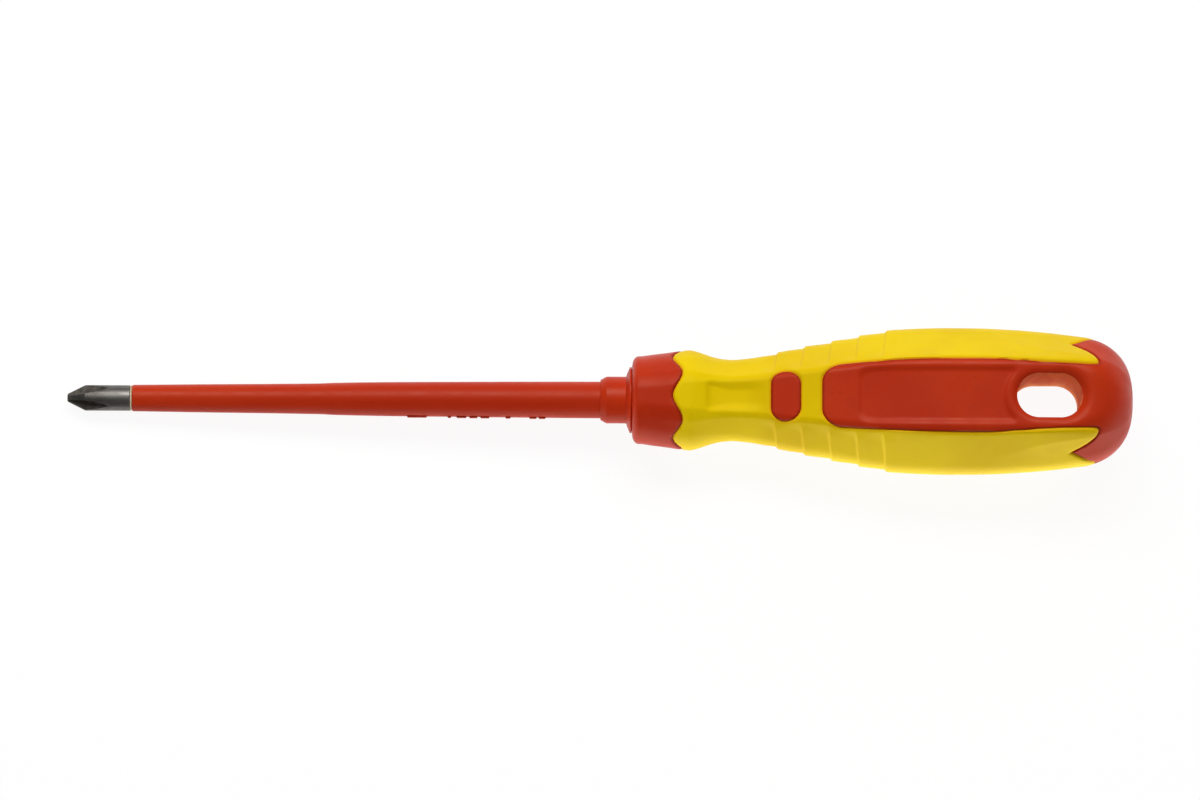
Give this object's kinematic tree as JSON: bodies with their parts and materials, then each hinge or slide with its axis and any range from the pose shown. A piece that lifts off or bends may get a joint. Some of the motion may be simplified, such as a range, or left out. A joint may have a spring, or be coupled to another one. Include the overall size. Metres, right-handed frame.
{
  "type": "insulated screwdriver",
  "caption": "Insulated cross-slot screwdriver: bare steel point, orange sleeve, six-sided orange and yellow handle with label pads and a hanging slot.",
  "frame": {"origin": "centre of the flat end of the point", "axes": "+X along the tool from the point to the butt, +Z out of the upper label pad, +Y to one side"},
  "size_m": [0.2503, 0.0346, 0.031],
  "materials": {
    "steel": "dark satin steel, blackened at the point",
    "pale_insulation": "matt pale yellow",
    "orange_insulation": "satin orange-red",
    "orange_plastic": "satin orange-red with soft gloss",
    "yellow_rubber": "satin yellow soft plastic"
  },
  "bodies": {
    "root": {"blade": "steel", "inner_insulation": "pale_insulation", "outer_sleeve": "orange_insulation", "handle_core": "orange_plastic", "handle_body": "orange_plastic", "grip": "yellow_rubber"}
  },
  "joints": []
}
